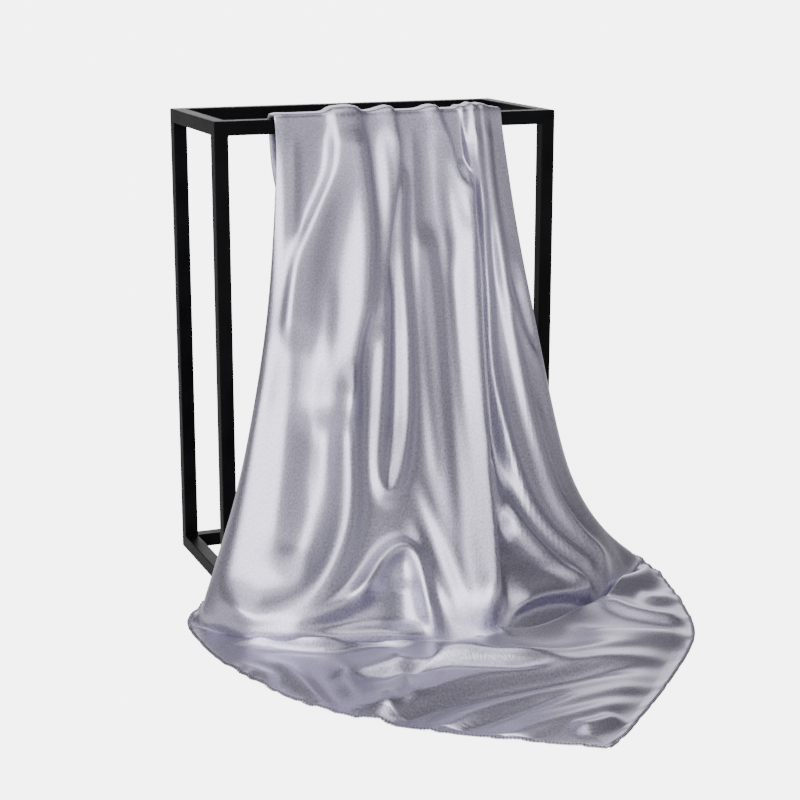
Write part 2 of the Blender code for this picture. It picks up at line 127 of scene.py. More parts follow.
# sections of the fall: height, left edge, right edge, left flap, right flap,
# how far the flaps are turned back in degrees, radius of the turn
fallSections = [
    (0.6, -43, 449, 26, 24, 35, 1), (5, -52, 457, 30, 28, 70, 2), (16, -57, 453, 42, 42, 110, 5),
    (34, -52, 432, 76, 72, 150, 8), (66, -40, 406, 122, 116, 172, 11), (110, -22, 385, 165, 160, 180, 12),
    (165, -2, 374, 176, 170, 180, 11), (225, 17, 365, 155, 150, 180, 10), (290, 35, 355, 120, 115, 180, 8),
    (350, 47, 344, 84, 80, 180, 6), (405, 55, 335, 54, 52, 180, 4), (445, 60, 329, 36, 34, 180, 2.4),
]

# sections over the rail: way climbed from the floor, depth and height of the cloth, depth and height
# of the flap under it, left edge, right edge, flap. Here heights are counted from the stand's top
railSections = [
    (478, -4.7, -27, -1.7, -27, 63, 324, 27), (496, -4.6, -9, -1.6, -9, 62, 321, 24),
    (507, -5.6, 7.0, -2.8, 4.0, 61, 320, 23), (515, 7.5, 4.4, 7.5, 1.4, 61, 319, 22),
    (523, 20.6, 7.0, 17.8, 4.0, 61, 318, 22), (536, 19.6, -10, 16.6, -10, 62, 317, 21),
]

# sections of the corner behind the rail: height, left edge, right edge, flap, how far it is turned under
backSections = [
    (468, 63, 315, 20, 178), (425, 68, 307, 20, 150), (375, 88, 286, 18, 110), (325, 122, 256, 15, 70),
    (288, 154, 225, 10, 25), (264, 176, 205, 5, 0), (252, 190, 190, 0, 0),
]

# creases of the fall: name, height, width on the left, width on the right, lean of the crest to the right,
# how many times wider it is at its end, places (across, up) from top to bottom. Where a crease runs from
# left to right instead, its first width is below it and its second above
fallFolds = [
    ("wide panel crest", 11, 5.5, 14, -3, 2.2,
     [(130, 600), (130, 507), (131, 475), (127, 448), (115, 424), (101, 400), (88, 376), (79, 350),
      (70, 310), (60, 262)]),
    ("wide panel dip", -6, 17, 9, 0, 1.0, [(112, 520), (110, 492), (104, 452), (90, 412), (76, 372)]),
    ("left border crest", 4, 5, 8, 0, 1.8,
     [(64, 560), (66, 505), (68, 440), (65, 390), (54, 330), (38, 270), (18, 200)]),
    ("second pleat edge", 14, 17, 7, 4, 1.3,
     [(159, 600), (159, 511), (163, 460), (162, 419), (159, 383), (144, 313), (129, 265), (114, 222),
      (104, 180)]),
    ("inner swag", 15, 15, 13, 0, 1.0,
     [(120, 262), (109, 190), (102, 132), (87, 94), (63, 60), (45, 42), (20, 31), (-2, 24), (-14, 28),
      (-25, 42), (-34, 62)]),
    ("inner swag dip", -11, 20, 18, 0, 1.0, [(80, 230), (60, 140), (36, 90), (12, 60)]),
    ("third pleat edge", 13, 13, 5, 4, 1.4,
     [(197, 600), (198, 507), (202, 479), (199, 456), (194, 434), (187, 406), (180, 382), (172, 350),
      (163, 312), (154, 270)]),
    ("third pleat loop", 7, 8, 9, 0, 1.0,
     [(176, 352), (169, 316), (161, 280), (152, 238), (138, 190), (129, 157), (131, 138), (140, 133),
      (151, 148), (161, 166), (173, 202), (180, 230), (190, 279), (194, 338), (196, 395), (202, 432),
      (206, 460)]),
    ("third pleat dip", -6, 9, 10, 0, 1.0, [(188, 400), (182, 330), (172, 270), (159, 210), (147, 168)]),
    ("middle panel crest", 3.5, 6, 8, 0, 1.5,
     [(224, 600), (238, 505), (242, 468), (244, 430), (246, 380), (246, 330)]),
    ("middle panel dip", -3, 8, 7, 0, 1.0, [(227, 510), (233, 470), (234, 430), (232, 400)]),
    ("broad column", 7, 13, 17, 0, 1.2,
     [(222, 400), (230, 312), (217, 211), (203, 130), (190, 60), (184, 6)]),
    ("second column", 5, 9, 8, 0, 1.0,
     [(268, 372), (261, 310), (248, 211), (231, 120), (213, 45), (198, 0)]),
    ("small panel edge", 9, 12, 3.5, 4, 1.0,
     [(247, 600), (248, 507), (253, 498), (261, 476), (266, 449), (272, 430), (280, 418)]),
    ("small panel crest", 3, 6, 6, 0, 1.0, [(252, 460), (259, 435), (267, 405), (269, 375)]),
    ("narrow pleat left edge", 7, 3.5, 8, -3, 1.0,
     [(270, 600), (271, 508), (276, 486), (280, 455), (282, 424)]),
    ("long dark edge", 18, 13, 8, 4, 1.3,
     [(286, 462), (283, 430), (282, 402), (281, 356), (277, 315), (270, 273), (261, 208), (252, 171),
      (243, 126), (228, 61), (214, 8)]),
    ("dark hollow", -9, 8, 8, 0, 1.3,
     [(294, 420), (293, 356), (284, 273), (275, 208), (268, 171), (259, 126), (244, 66)]),
    ("first sweep", 13, 5, 7, 0, 1.2,
     [(289, 600), (289, 507), (291, 470), (294, 420), (298, 372), (298, 330), (294, 288), (288, 241),
      (286, 195), (287, 145), (294, 102), (310, 75), (335, 50), (372, 20)]),
    ("second sweep", 11, 6, 8, 0, 1.2,
     [(300, 600), (300, 507), (303, 450), (308, 400), (314, 340), (315, 290), (317, 255), (319, 213),
      (322, 172), (332, 108), (347, 78), (366, 52), (393, 20)]),
    ("right dip", -8, 8, 8, 0, 1.0, [(322, 350), (331, 308), (340, 272), (348, 240)]),
    ("right dip left rim", 5, 5, 6, 0, 1.0, [(314, 318), (322, 288), (333, 262), (347, 236), (356, 220)]),
    ("right dip right rim", 4, 6, 5, 0, 1.0, [(336, 345), (345, 305), (350, 270), (354, 232)]),
    ("right border crest", 4, 6, 5, 0, 1.5, [(312, 560), (314, 500), (318, 455), (326, 405), (335, 365)]),
    ("third sweep", 11, 7, 11, 0, 1.2,
     [(252, 182), (254, 142), (263, 108), (278, 82), (296, 58), (322, 30), (348, 6)]),
    ("outer left crest", 10, 9, 12, 0, 1.0,
     [(30, 262), (20, 226), (-2, 158), (-17, 108), (-31, 72), (-37, 52), (-38, 34), (-34, 16), (-28, 0)]),
    ("outer swag", 11, 9, 12, 0, 1.0, [(124, 70), (107, 56), (73, 42), (50, 28), (22, 18), (-4, 12)]),
    ("arch", 12, 9, 8, 0, 1.0,
     [(80, 34), (92, 50), (106, 64), (121, 78), (137, 87), (149, 85), (156, 73), (156, 46), (157, 22),
      (162, -6)]),
    ("arch dip", -7, 16, 16, 0, 1.0, [(128, 64), (125, 40), (121, 8)]),
    ("arch second crest", 4, 7, 8, 0, 1.0, [(150, 116), (163, 84), (168, 50), (176, 14)]),
    ("arch third crest", 3, 7, 8, 0, 1.0, [(168, 156), (182, 92), (188, 50), (196, 12)]),
    ("foot roll", 9, 10, 8, 0, 1.0,
     [(-50, 9), (-10, 10), (30, 12), (70, 10), (100, 12), (130, 9), (160, 9)]),
    ("left fine crease", 1.8, 6, 5, 0, 1.6,
     [(84, 500), (82, 430), (73, 340), (58, 255), (38, 165), (12, 80)]),
    ("left short fine crease", 2.0, 5, 6, 0, 1.5, [(112, 350), (98, 285), (80, 205), (54, 120)]),
    ("second pleat fine crease", 1.6, 5, 4, 0, 1.2,
     [(145, 500), (149, 440), (145, 385), (132, 322), (116, 255)]),
    ("third pleat fine crease", 1.6, 5, 4, 0, 1.0, [(176, 500), (182, 455), (177, 405), (162, 345)]),
    ("middle fine crease", 1.8, 5, 5, 0, 1.2,
     [(214, 500), (217, 440), (214, 380), (208, 300), (199, 215), (188, 130)]),
    ("column fine crease", 2.2, 5, 5, 0, 1.2, [(248, 400), (243, 310), (232, 212), (216, 120), (202, 40)]),
    ("column edge crease", 2.4, 4, 5, 0, 1.2, [(272, 330), (258, 240), (240, 160), (225, 80), (211, 14)]),
    ("sweep fine crease", 2.0, 5, 5, 0, 1.3,
     [(302, 330), (301, 255), (303, 185), (314, 122), (338, 70), (366, 36)]),
    ("right fine crease", 2.0, 5, 6, 0, 1.4, [(333, 215), (338, 170), (348, 122), (368, 76), (398, 38)]),
    ("right long crease", 3.0, 7, 9, 0, 1.3, [(352, 250), (357, 200), (364, 150), (380, 100), (404, 56)]),
    ("pocket fold", 15, 5, 17, -3, 1.0, [(222, 12), (229, 26), (248, 32), (285, 30), (322, 22), (356, 10)]),
    ("right upper fold", 7, 20, 20, 0, 1.0, [(350, 20), (383, 34), (410, 42), (436, 40)]),
]

# creases of the corner behind the rail, which the photo doesn't show, in the same columns:
# places are across the cloth and along it from the foot of the fall, over the rail
backFolds = [
    ("back left crease", 6, 7, 9, 0, 1.4, [(98, 530), (112, 590), (130, 650), (152, 706), (170, 742)]),
    ("back middle crease", 7, 10, 8, 0, 1.0, [(168, 530), (174, 600), (181, 670), (188, 745)]),
    ("back middle dip", -4, 9, 9, 0, 1.0, [(196, 560), (197, 620), (196, 690)]),
    ("back short crease", 5, 7, 7, 0, 1.2, [(221, 530), (222, 585), (214, 640), (206, 680)]),
    ("back right crease", 6, 8, 7, 0, 1.3, [(276, 530), (264, 590), (246, 650), (224, 706), (208, 738)]),
    ("back right short crease", 4, 6, 6, 0, 1.0, [(300, 530), (292, 570), (280, 606)]),
]

# creases of the cloth on the floor: name, height, width behind, width in front, lean of the crest to the
# front, how many times wider it is at its end, places (across, depth) from left to right. Where a crease
# runs to the front instead, its first width is on the right of it and its second on the left
floorFolds = [
    ("break line", 14, 15, 5.5, 5, 1.0,
     [(-52, -140), (-30, -152), (-12, -168), (8, -174), (32, -196), (62, -202), (92, -192), (112, -212),
      (133, -218), (152, -200), (168, -176)]),
    ("break line valley", -9, 9, 9, 0, 1.0,
     [(-30, -172), (8, -190), (34, -212), (64, -218), (94, -208), (120, -232), (146, -226)]),
    ("layer edge", 11, 16, 6, 3, 1.0, [(154, -150), (162, -190), (176, -226), (198, -262), (220, -288)]),
    ("rising edge", 15, 8, 30, -4, 1.0,
     [(60, -322), (100, -312), (150, -298), (200, -274), (257, -248), (296, -224), (330, -204), (362, -180),
      (386, -170)]),
    ("rising edge valley", -10, 12, 9, 0, 1.0,
     [(180, -262), (220, -250), (262, -232), (300, -208), (334, -190)]),
    ("left long crease", 11, 30, 6, 2, 1.2,
     [(6, -276), (30, -281), (62, -284), (100, -290), (150, -310), (184, -324), (222, -336), (262, -340)]),
    ("left long valley", -6, 6, 9, 0, 1.0,
     [(40, -296), (100, -303), (150, -324), (190, -338), (240, -346)]),
    ("second long crease", 4, 13, 6, 0, 1.3,
     [(150, -330), (200, -328), (250, -322), (310, -316), (360, -318)]),
    ("corner band", 4, 12, 9, 0, 1.0, [(140, -428), (200, -416), (260, -408), (316, -404)]),
    ("near long crease", 11, 34, 12, 3, 1.2,
     [(-80, -428), (-20, -400), (44, -374), (72, -364), (112, -353), (150, -347), (230, -345), (318, -344),
      (372, -350)]),
    ("near long valley", -6, 12, 12, 0, 1.0,
     [(0, -418), (50, -396), (90, -381), (150, -368), (230, -364), (318, -362)]),
    ("front long crease", 5, 14, 12, 0, 1.0,
     [(20, -446), (70, -426), (120, -408), (170, -398), (230, -390), (290, -386), (340, -378)]),
    ("front short valley", -5, 9, 9, 0, 1.0, [(60, -444), (110, -424), (160, -412), (220, -404)]),
    ("corner ripple", 4, 13, 9, 0, 1.0, [(86, -474), (130, -456), (190, -446), (240, -438), (286, -424)]),
    ("corner short ripple", 6, 10, 9, 0, 1.0, [(176, -472), (206, -470), (240, -458)]),
    ("right upper fold", 15, 9, 20, 0, 1.0,
     [(330, -176), (356, -170), (383, -165), (406, -157), (432, -143), (455, -120), (470, -89)]),
    ("right lower crease", 10, 22, 10, 0, 1.0,
     [(350, -184), (357, -226), (372, -246), (402, -262), (432, -268)]),
    ("right middle swell", 8, 14, 14, 0, 1.0, [(392, -196), (414, -206), (438, -204), (458, -190)]),
    ("right crease", 10, 14, 24, 0, 1.0, [(270, -268), (310, -286), (350, -300), (384, -306), (414, -300)]),
    ("small fold", 10, 8, 5, 3, 1.0, [(186, -174), (216, -192), (244, -206), (270, -230)]),
    ("left ripple", 8, 9, 12, 0, 1.0, [(-60, -190), (-48, -214), (-36, -246), (-28, -276)]),
    ("left short ripple", 8, 10, 14, 0, 1.0,
     [(-26, -190), (-14, -232), (-6, -272), (-8, -330), (-14, -380)]),
    ("left hem ripple", 6, 8, 10, 0, 1.0, [(-46, -222), (-38, -256), (-34, -290), (-36, -330)]),
    ("front hem ripple", 6, 9, 10, 0, 1.0, [(56, -330), (44, -362), (30, -396), (20, -420)]),
    ("left middle ripple", 6, 12, 12, 0, 1.0, [(34, -220), (40, -258), (34, -300), (22, -346)]),
    ("middle ripple", 4, 11, 11, 0, 1.0, [(92, -222), (96, -254), (86, -300), (70, -350), (62, -392)]),
]


# ripples beside the hems: length of one wave, height, where it starts
rimRipples = [(17.0, 0.5, 0.4), (27.0, 0.6, 1.9), (46.0, 0.6, 4.1)]


# a smooth step from 0 at low to 1 at high
def smoothStep(value, low, high):
    share = np.clip((value - low) / (high - low), 0.0, 1.0)
    return share * share * (3.0 - 2.0 * share)


def unit(vectors):
    return vectors / np.maximum(np.linalg.norm(vectors, axis=-1, keepdims=True), 1e-9)


# weights of a cubic curve through a row of control points, with its ends held:
# one row for each place, which is counted in control points
def curveWeights(count, places):
    spans = count - 3
    knots = np.concatenate(([0.0] * 3, np.arange(spans + 1), [spans] * 3))
    centres = (knots[1:count + 1] + knots[2:count + 2] + knots[3:count + 3]) / 3.0
    t = np.clip(np.interp(places, np.arange(count), centres), 0.0, spans - 1e-9)[:, None]
    weights = ((t >= knots[:-1]) & (t < knots[1:])).astype(float)
    for degree in (1, 2, 3):
        start = knots[:-degree - 1]
        end = knots[degree + 1:]
        rise = np.maximum(knots[degree:-1] - start, 1e-9)
        fall = np.maximum(end - knots[1:len(knots) - degree], 1e-9)
        weights = (t - start) / rise * weights[:, :-1] + (end - t) / fall * weights[:, 1:]
    return weights


# the length travelled along each line of points: the sum of the steps before each point
def travel(points):
    steps = np.linalg.norm(np.diff(points, axis=-2), axis=-1)
    return np.concatenate([np.zeros(steps.shape[:-1] + (1,)), np.cumsum(steps, axis=-1)], axis=-1)


def column(table, index):
    return np.array([row[index] for row in table], float)


def footDepth(across):
    return np.interp(across, column(footLine, 0), column(footLine, 1))


def lineShares(height):
    return np.array([np.interp(height, cloth["lineLevels"], line[:4]) for line in clothLines])


# one row of the net, from hem to hem: the flap beyond each edge swings round behind the front,
# flat beside it at 0 degrees and behind it at 180. Its points lie sideways by the cosine of the turn,
# and backwards by the sine
def netRow(front, left, right, leftFlap, rightFlap, turn, shares, under):
    flap = column(clothLines, 4)
    leftSide = np.arange(len(clothLines)) < len(clothLines) / 2
    length = np.where(leftSide, leftFlap, rightFlap)
    outwards = np.where(leftSide, -1.0, 1.0) * np.cos(np.radians(turn))
    points = np.column_stack([left + (right - left) * shares, front])
    points[:, 0] += outwards * length * flap
    swingOut = np.abs(np.sin(np.radians(turn))) * length * flap
    layer = (1.0 - np.cos(np.radians(turn))) / 2.0 * (flap > 0.0)
    direction = np.sign(under[0]) if under[0] else 1.0
    points[:, 1] += direction * swingOut + under[0] * layer
    points[:, 2] += under[1] * layer
    return points


# the net of control points, a row for each section, and how far each row has climbed
def clothNet():
    rows = []
    climb = []
    for share, left, right in poolSections:
        inset = cloth["poolFlap"] * (right - left)
        shares = lineShares((share - 1.0) * cloth["poolLength"])
        depth = -cloth["cornerDepth"] + (cloth["cornerDepth"] - footDepth(shares)) * share
        front = np.column_stack([depth, np.full(len(depth), cloth["poolHeight"])])
        rows.append(netRow(front, left + inset, right - inset, inset, inset, 0.0, shares, (1.0, 0.0)))
        climb.append((share - 1.0) * cloth["poolLength"])
    for height, left, right, leftFlap, rightFlap, turn, radius in fallSections:
        shares = lineShares(height)
        power = np.interp(shares, column(swing, 0), column(swing, 1))
        depth = -footDepth(shares) * (1.0 - height / stand["height"]) ** power
        depth -= cloth["railClear"] * smoothStep(height, *fades["swingClear"])
        front = np.column_stack([depth, np.full(len(depth), float(height))])
        rows.append(netRow(front, left, right, leftFlap, rightFlap, turn, shares, (2.0 * radius, 0.0)))
        climb.append(height)
    level = lineShares(stand["height"])
    for way, depth, above, underDepth, underAbove, left, right, flap in railSections:
        front = np.tile(np.array([depth, stand["height"] + above]), (len(clothLines), 1))
        under = (underDepth - depth, underAbove - above)
        rows.append(netRow(front, left, right, flap, flap, 180.0, level, under))
        climb.append(way)
    depth = stand["tube"] + cloth["railClear"]
    for height, left, right, flap, turn in backSections:
        front = np.tile(np.array([depth, float(height)]), (len(clothLines), 1))
        rows.append(netRow(front, left, right, flap, flap, turn, level, (-cloth["backTuck"], 0.0)))
        climb.append(2.0 * stand["height"] + stand["tube"] - height)
    return np.array(rows), np.array(climb)


# the smooth line through a crease's places, as close points
def creasePath(places, count=44):
    table = np.array(places, float)
    if len(table) < 4:
        along = np.linspace(0, len(table) - 1, 8)
        table = np.column_stack([np.interp(along, np.arange(len(table)), table[:, k]) for k in (0, 1)])
    return curveWeights(len(table), np.linspace(0, len(table) - 1, count)) @ table


# distance of every point from a path, positive on its left as it runs, how far along the path the nearest
# place is in millimetres, the path's length, and the sideways direction there
def pathField(across, up, path):
    nearest = np.full(across.shape, 1e9)
    side = np.zeros(across.shape)
    along = np.zeros(across.shape)
    sideways = np.zeros(across.shape + (2,))
    travelled = 0.0
    for start, end in zip(path[:-1], path[1:]):
        step = end - start
        length = max(float(np.hypot(*step)), 1e-6)
        share = np.clip(((across - start[0]) * step[0] + (up - start[1]) * step[1]) / length ** 2, 0.0, 1.0)
        offX = across - start[0] - share * step[0]
        offY = up - start[1] - share * step[1]
        distance = np.hypot(offX, offY)
        closer = distance < nearest
        nearest = np.where(closer, distance, nearest)
        side = np.where(closer, np.sign(step[0] * offY - step[1] * offX), side)
        along = np.where(closer, travelled + share * length, along)
        sideways = np.where(closer[..., None], np.array([-step[1], step[0]]) / length, sideways)
        travelled += length
    return nearest * side, along, travelled, sideways


# raises one crease: full height at its path, fading over its own width on each side, and at both ends
def crease(across, up, places, height, leftWidth, rightWidth, lean, spread, fade):
    off, along, length, sideways = pathField(across, up, creasePath(places))
    fade = min(fade, cloth["fadeLimit"] * length)
    ends = smoothStep(along, 0.0, fade) * (1.0 - smoothStep(along, length - fade, length))
    wider = 1.0 + (spread - 1.0) * along / length
    crest = np.exp(-(off / (np.where(off > 0.0, leftWidth, rightWidth) * wider)) ** 2) * ends
    return height * crest, -sideways * (lean * crest)[..., None]


# the cloth's middle surface: smooth curves through the net along and across, and on it each crease as a
# bell curve of the distance from its path. rows and lines count control points along and across the cloth
def clothPoints(rows, lines):
    net, climb = clothNet()
    along = curveWeights(len(net), rows)
    over = curveWeights(len(clothLines), lines)
    base = np.einsum("rk,kmc,lm->rlc", along, net, over)
    way = np.repeat((along @ climb)[:, None], len(lines), axis=1)
    across = unit(np.gradient(base, axis=1))
    up = unit(np.gradient(base, axis=0))
    out = unit(np.cross(across, up))
    front = smoothStep(lines, *fades["leftLines"]) * (1.0 - smoothStep(lines, *fades["rightLines"]))
    lowSide = smoothStep(lines, *fades["sideLines"]) * (1.0 - smoothStep(base[..., 2], *fades["sideHeight"]))
    onFloor = np.maximum(1.0 - smoothStep(way, *fades["floor"]), lowSide * (way < fades["sideTop"]))
    opened = np.maximum(front, 1.0 - smoothStep(way, *fades["opened"]))
    pressed = 1.0 - (1.0 - cloth["pressed"]) * smoothStep(way, *fades["pressed"])
    behind = 1.0 - smoothStep(way, *fades["behind"])
    moved = np.zeros(base.shape)
    step = travel(base)
    inside = np.minimum(step, step[:, -1:] - step)
    # creases run out towards the hems
    calm = 1.0 - cloth["calmShare"] * np.exp(-(inside / cloth["calmEdge"]) ** 2)
    moved[..., 2] = cloth["floorLift"] * onFloor * (1.0 - np.exp(-(inside / cloth["liftEdge"]) ** 2))
    for name, height, leftWidth, rightWidth, lean, spread, places in fallFolds:
        # seen from the left, a raised crest shows further right than its foot, so it is laid further left
        shown = cloth["sideView"] * height + lean
        rise, slide = crease(base[..., 0] + shown, way, places, height, rightWidth, leftWidth, -lean, spread,
                             cloth["foldFade"])
        # dips fade out below the rail, where the flaps are close behind
        shallow = 1.0 - cloth["dipShare"] * smoothStep(way, *fades["dips"]) if height < 0.0 else 1.0
        share = (opened * pressed * behind * shallow)[..., None]
        moved += (out * rise[..., None] + across * slide[..., :1] + up * slide[..., 1:]) * share
    back = (smoothStep(way, *fades["back"]) * front)[..., None]
    for name, height, leftWidth, rightWidth, lean, spread, places in backFolds:
        rise = crease(base[..., 0], way, places, height, leftWidth, rightWidth, lean, spread,
                      cloth["foldFade"])[0]
        moved += out * rise[..., None] * back
    for name, height, backWidth, frontWidth, lean, spread, places in floorFolds:
        rise, slide = crease(base[..., 0], base[..., 1], places, height, backWidth, frontWidth, lean, spread,
                             cloth["floorFade"])
        share = onFloor * calm
        moved += out * (rise * share)[..., None]
        moved[..., :2] += slide * share[..., None]
    # the hidden flaps hang in loose waves, each a sine of the share of the flap
    flapShare = np.interp(lines, np.arange(len(clothLines)), column(clothLines, 4))
    amplitude = cloth["flapWave"] * smoothStep(way, *fades["flapsIn"])
    amplitude = amplitude * (1.0 - smoothStep(way, *fades["flapsOut"]))
    wave = np.sin(flapShare * cloth["flapFolds"] * 2.0 * np.pi + cloth["flapTwist"] * way)
    wave *= smoothStep(flapShare, *fades["flapShare"])
    moved += out * (amplitude * wave)[..., None]
    points = base + moved
    # beside the hems the cloth is drawn up in short uneven ripples
    step = travel(points)
    for side, inwards in ((0, step), (1, step[:, -1:] - step)):
        travelled = travel(points[:, -side])
        ripple = sum(size * np.sin(2.0 * np.pi * travelled / length + phase + side)
                     for length, size, phase in rimRipples)
        points += out * (ripple[:, None] * np.exp(-(inwards / cloth["rimWidth"]) ** 2))[..., None]
    points[..., 2] = np.maximum(points[..., 2], cloth["lowest"])
    return points, way, out


# where the rows and columns of the shell are taken from the net: closer where it is creased most
def samplePlaces():
    rows, lines = [np.concatenate([np.linspace(a, b, count, endpoint=False) for a, b, count in cloth[spans]])
                   for spans in ("rowSpans", "columnSpans")]
    return np.append(rows, cloth["rowSpans"][-1][1]), np.append(lines, cloth["columnSpans"][-1][1])


# millimetres from the stand's corner to metres in the frame
def placed(points):
    return np.asarray(points, float) * mm + standCorner


# a mesh object from points and faces, smooth and at the origin
def meshObject(name, points, faces, smooth=True):
    mesh = bpy.data.meshes.new(name)
    mesh.from_pydata(np.asarray(points).tolist(), [], [tuple(face) for face in faces])
    mesh.polygons.foreach_set("use_smooth", np.full(len(mesh.polygons), smooth))
    mesh.update()
    piece = bpy.data.objects.new(name, mesh)
    bpy.context.scene.collection.objects.link(piece)
    return piece


# faces of a grid of rows and columns: each joins a point to the next in its row and the two after them
# in the next row, and a closed grid joins its last column to its first
def gridFaces(rows, columns, closed=False):
    r, c = np.meshgrid(np.arange(rows - 1), np.arange(columns if closed else columns - 1), indexing="ij")
    a = r * columns + c
    b = r * columns + (c + 1) % columns
    return np.stack([a, b, b + columns, a + columns], axis=-1).reshape(-1, 4)


# a uv map of metres across and along the cloth
def setUv(piece, across, along):
    layer = piece.data.uv_layers.new(name="cloth")
    corners = np.empty(len(piece.data.loops), dtype=np.int32)
    piece.data.loops.foreach_get("vertex_index", corners)
    layer.data.foreach_set("uv", np.column_stack([across.ravel()[corners], along.ravel()[corners]]).ravel())


def nodeTree(name):
    material = bpy.data.materials.new(name)
    material.use_nodes = True
    tree = material.node_tree
    return material, tree, tree.nodes["Principled BSDF"]


def addNode(tree, kind, inputs=None, **settings):
    node = tree.nodes.new(kind)
    for key, value in settings.items():
        setattr(node, key, value)
    for key, value in (inputs or {}).items():
        node.inputs[key].default_value = value
    return node


# bump from a node's value, on the shader's normal
def addBump(tree, shader, source, strength, depth):
    bump = addNode(tree, "ShaderNodeBump", {"Strength": strength, "Distance": depth})
    tree.links.new(source, bump.inputs["Height"])
    tree.links.new(bump.outputs["Normal"], shader.inputs["Normal"])


# the base colour runs from shade to light with a node's value
def addColours(tree, shader, source, shade, light, ends=(0.0, 1.0)):
    ramp = addNode(tree, "ShaderNodeValToRGB")
    for stop, place, colour in zip(ramp.color_ramp.elements, ends, (shade, light)):
        stop.position = place
        stop.color = colour
    tree.links.new(source, ramp.inputs["Fac"])
    tree.links.new(ramp.outputs["Color"], shader.inputs["Base Color"])


# the roughness swings round its middle with a node's value
def addRoughness(tree, shader, source, middle, swing):
    spread = addNode(tree, "ShaderNodeMapRange", {"To Min": middle - swing, "To Max": middle + swing})
    tree.links.new(source, spread.inputs["Value"])
    tree.links.new(spread.outputs["Result"], shader.inputs["Roughness"])


# silver satin: a soft metallic-looking sheen from long floats of yarn, with a fine grain
satin = dict(
    shade=(0.395, 0.374, 0.480, 1.0), light=(0.62, 0.588, 0.735, 1.0),
    metallic=0.92, roughness=0.36, roughnessSwing=0.09, sheen=0.1, sheenRoughness=0.4,
    grainAcross=560.0, grainAlong=430.0, grainStrength=0.45, grainDepth=0.0004,
    grainTop=0.68, grainFloor=(0.26, 0.40),  # grain between these is spread over the two colours
    patchScale=14.0,
    # the hems' satin is painted darker by this share: painted shade for the shade in and beside the rolled
    # hem
    hemPaintedShade=0.85,
)


# both colours are scaled by the factor given; below 1 it paints shade into the satin
def makeSatin(name="silverSatin", paintedShade=1.0):
    material, tree, shader = nodeTree(name)
    uv = addNode(tree, "ShaderNodeUVMap", uv_map="cloth")
    grainMap = addNode(tree, "ShaderNodeMapping", {"Scale": (satin["grainAcross"], satin["grainAlong"], 1.0)})
    grain = addNode(tree, "ShaderNodeTexNoise", {"Scale": 1.0, "Detail": 2.0, "Roughness": 0.6})
    tree.links.new(uv.outputs["UV"], grainMap.inputs["Vector"])
    tree.links.new(grainMap.outputs["Vector"], grain.inputs["Vector"])
    patch = addNode(tree, "ShaderNodeTexNoise", {"Scale": satin["patchScale"], "Detail": 3.0})
    tree.links.new(uv.outputs["UV"], patch.inputs["Vector"])
    blend = addNode(tree, "ShaderNodeMapRange", {"From Max": satin["grainTop"]})
    tree.links.new(grain.outputs["Fac"], blend.inputs["Value"])
    lowMin, lowMax = satin["grainFloor"]
    low = addNode(tree, "ShaderNodeMapRange", {"To Min": lowMin, "To Max": lowMax})
    tree.links.new(patch.outputs["Fac"], low.inputs["Value"])
    tree.links.new(low.outputs["Result"], blend.inputs["From Min"])
    shade, light = [tuple(part * paintedShade for part in satin[tone][:3]) + (1.0,) for tone in ("shade", "light")]
    addColours(tree, shader, blend.outputs["Result"], shade, light)
    addRoughness(tree, shader, grain.outputs["Fac"], satin["roughness"], satin["roughnessSwing"])
    addBump(tree, shader, grain.outputs["Fac"], satin["grainStrength"], satin["grainDepth"])
    shader.inputs["Metallic"].default_value = satin["metallic"]
    shader.inputs["Sheen Weight"].default_value = satin["sheen"]
    shader.inputs["Sheen Roughness"].default_value = satin["sheenRoughness"]
    return material


# grey sewing thread with a fine twist
thread = dict(
    shade=(0.05, 0.05, 0.06, 1.0), light=(0.15, 0.145, 0.17, 1.0), roughness=0.6,
    twist=5200.0, twistStrength=0.3, twistDepth=0.0001,
)


def makeThread():
    material, tree, shader = nodeTree("greyThread")
    place = addNode(tree, "ShaderNodeTexCoord")
    ply = addNode(tree, "ShaderNodeTexNoise", {"Scale": thread["twist"], "Detail": 2.0})
    tree.links.new(place.outputs["Object"], ply.inputs["Vector"])
    addColours(tree, shader, ply.outputs["Fac"], thread["shade"], thread["light"])
    shader.inputs["Roughness"].default_value = thread["roughness"]
    addBump(tree, shader, ply.outputs["Fac"], thread["twistStrength"], thread["twistDepth"])
    return material


# black paint with a fine orange-peel grain
paint = dict(
    shade=(0.0015, 0.0015, 0.002, 1.0), light=(0.004, 0.004, 0.005, 1.0), colourEnds=(0.35, 0.75),
    roughness=0.45, roughnessSwing=0.08, gloss=0.08,
    grain=900.0, grainStrength=0.25, grainDepth=0.0002, clouds=22.0,
)


def makePaint():
    material, tree, shader = nodeTree("blackPaintedSteel")
    place = addNode(tree, "ShaderNodeTexCoord")
    grain = addNode(tree, "ShaderNodeTexNoise", {"Scale": paint["grain"], "Detail": 3.0})
    cloud = addNode(tree, "ShaderNodeTexNoise", {"Scale": paint["clouds"], "Detail": 4.0})
    tree.links.new(place.outputs["Object"], grain.inputs["Vector"])
    tree.links.new(place.outputs["Object"], cloud.inputs["Vector"])
    addColours(tree, shader, cloud.outputs["Fac"], paint["shade"], paint["light"], paint["colourEnds"])
    addRoughness(tree, shader, cloud.outputs["Fac"], paint["roughness"], paint["roughnessSwing"])
    shader.inputs["Specular IOR Level"].default_value = paint["gloss"]
    addBump(tree, shader, grain.outputs["Fac"], paint["grainStrength"], paint["grainDepth"])
    return material


